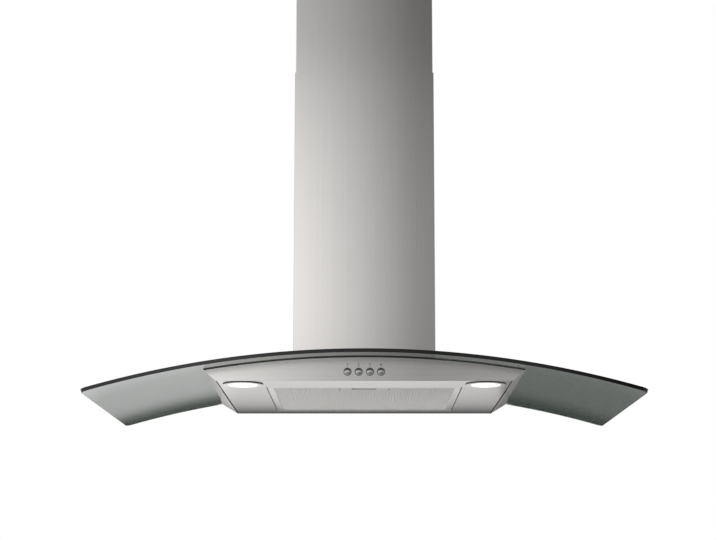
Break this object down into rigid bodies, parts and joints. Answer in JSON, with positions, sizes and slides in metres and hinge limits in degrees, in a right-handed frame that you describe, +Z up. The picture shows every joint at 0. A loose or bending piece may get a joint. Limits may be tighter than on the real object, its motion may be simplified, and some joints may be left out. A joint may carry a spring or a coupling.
{
  "type": "curved glass range hood",
  "caption": "Wall-mounted range hood with a bent glass canopy, slim steel body, push buttons, lamps, a drop-down grease filter, a blower and a telescoping chimney cover.",
  "frame": {"origin": "in the wall plane, on the centre line, at the level of the flat underside of the body", "axes": "+X to the viewer's right, -Y to the front, away from the wall, +Z up"},
  "size_m": [0.9, 0.5, 0.9068],
  "materials": {
    "smoked_glass": "smoked grey-green, polished",
    "frosted_glass": "frosted white",
    "clear_glass": "clear",
    "black_rubber": "matt",
    "brushed_stainless": "fine brushed stainless steel",
    "zinc_sheet": "zinc-coated steel sheet",
    "plated_steel": "zinc-plated",
    "spring_steel": "bare spring steel",
    "chrome": "polished chrome",
    "filter_aluminium": "satin aluminium",
    "black_plastic": "moulded, fine grain",
    "white_plastic": "moulded, satin",
    "grey_plastic": "moulded, satin",
    "lamp_ceramic": "unglazed",
    "motor_paint": "semi-gloss enamel"
  },
  "bodies": {
    "hood": {"glass_canopy": "smoked_glass", "glass_gasket": "black_rubber", "body_shell": "brushed_stainless", "body_top": "zinc_sheet", "underside_panel": "brushed_stainless", "plenum_liner": "zinc_sheet", "air_neck": "zinc_sheet", "glass_bolts": "plated_steel", "glass_washers": "black_rubber", "glass_nuts": "plated_steel", "chassis_tray": "zinc_sheet", "blower_box": "zinc_sheet", "blower_cover": "zinc_sheet", "blower_lid": "zinc_sheet", "scroll_left": "black_plastic", "scroll_right": "black_plastic", "motor": "motor_paint", "motor_spider": "zinc_sheet", "rubber_mounts": "black_rubber", "spider_screws": "plated_steel", "chassis_screws": "plated_steel", "capacitor": "white_plastic", "capacitor_nut": "plated_steel", "terminal_box": "black_plastic", "terminal_cover": "black_plastic", "cable_gland": "black_plastic", "outlet_collar": "black_plastic", "lamp_rings": "chrome", "lamp_lenses": "frosted_glass", "lamp_cans": "zinc_sheet", "lamp_holders": "lamp_ceramic", "lamp_bulbs": "clear_glass", "lamp_transformer": "white_plastic", "switch_block": "black_plastic", "switch_bracket": "zinc_sheet", "hinge_ears": "zinc_sheet", "chimney_lower": "brushed_stainless", "glide_pads": "white_plastic"},
    "upper_chimney": {"chimney_upper": "brushed_stainless", "upper_bracket": "zinc_sheet", "upper_screws": "plated_steel"},
    "filter": {"filter_frame": "filter_aluminium", "mesh_front": "filter_aluminium", "mesh_rear": "filter_aluminium", "filter_pack": "filter_aluminium", "filter_pivots": "white_plastic", "latch_housing": "grey_plastic", "latch_springs": "spring_steel"},
    "latch": {"latch_slide": "grey_plastic"},
    "rotor": {"impeller": "black_plastic", "motor_shaft": "plated_steel", "shaft_nut": "plated_steel"},
    "front_flap": {"flap_front": "white_plastic"},
    "rear_flap": {"flap_rear": "white_plastic"},
    "button_1": {"button_1": "chrome"},
    "button_2": {"button_2": "chrome"},
    "button_3": {"button_3": "chrome"},
    "button_4": {"button_4": "chrome"}
  },
  "joints": [
    {"name": "chimney_extend", "type": "slide", "parent": "hood", "child": "upper_chimney", "axis": [0, 0, 1], "range_m": [-0.265, 0.14]},
    {"name": "filter_tilt", "type": "hinge", "parent": "hood", "child": "filter", "pos_m": [0, -0.047, 0.0045], "axis": [1, 0, 0], "range_deg": [0, 85]},
    {"name": "latch_release", "type": "slide", "parent": "filter", "child": "latch", "axis": [0, 1, 0], "range_m": [0, 0.005], "stiffness_N_per_m": 400, "springref_m": -0.004, "deforming": ["latch_springs"]},
    {"name": "impeller_spin", "type": "hinge", "parent": "hood", "child": "rotor", "pos_m": [0, -0.136, 0.152], "axis": [1, 0, 0], "continuous": true},
    {"name": "front_flap_lift", "type": "hinge", "parent": "hood", "child": "front_flap", "pos_m": [0, -0.0925, 0.2757], "axis": [-1, 0, 0], "range_deg": [0, 75]},
    {"name": "rear_flap_lift", "type": "hinge", "parent": "hood", "child": "rear_flap", "pos_m": [0, -0.0875, 0.2757], "axis": [1, 0, 0], "range_deg": [0, 75]},
    {"name": "button_1_press", "type": "slide", "parent": "hood", "child": "button_1", "axis": [0, 1, 0], "range_m": [0, 0.003], "stiffness_N_per_m": 500, "springref_m": -0.001},
    {"name": "button_2_press", "type": "slide", "parent": "hood", "child": "button_2", "axis": [0, 1, 0], "range_m": [0, 0.003], "stiffness_N_per_m": 500, "springref_m": -0.001},
    {"name": "button_3_press", "type": "slide", "parent": "hood", "child": "button_3", "axis": [0, 1, 0], "range_m": [0, 0.003], "stiffness_N_per_m": 500, "springref_m": -0.001},
    {"name": "button_4_press", "type": "slide", "parent": "hood", "child": "button_4", "axis": [0, 1, 0], "range_m": [0, 0.003], "stiffness_N_per_m": 500, "springref_m": -0.001}
  ]
}
